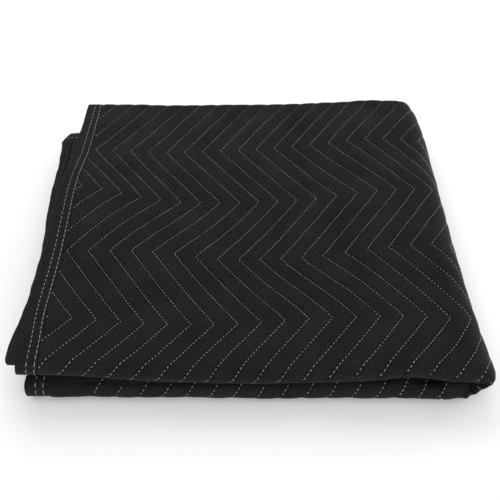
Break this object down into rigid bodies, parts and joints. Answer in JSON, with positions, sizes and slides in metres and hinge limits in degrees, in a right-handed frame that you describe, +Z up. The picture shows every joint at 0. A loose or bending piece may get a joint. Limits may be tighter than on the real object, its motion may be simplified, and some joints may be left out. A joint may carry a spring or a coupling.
{
  "type": "moving pad",
  "caption": "Black quilted moving pad folded into a flat rectangular pack, with zigzag stitching and tape sewn over its edges.",
  "frame": {"origin": "centre of the folded pack's bounding box, on the surface that it lies on", "axes": "+X from the taped edges to the bend of the width, +Z up out of the surface, and -Y towards the front fold"},
  "size_m": [0.5306, 0.4704, 0.0601],
  "materials": {
    "quilted_cloth": "matte black woven cotton blend with a faint grey bloom",
    "binding_tape": "matte black woven tape"
  },
  "bodies": {
    "root": {"pad": "quilted_cloth", "binding_side_upper": "binding_tape", "binding_side_lower": "binding_tape", "binding_end_inner": "binding_tape", "binding_end_outer": "binding_tape"}
  },
  "joints": []
}
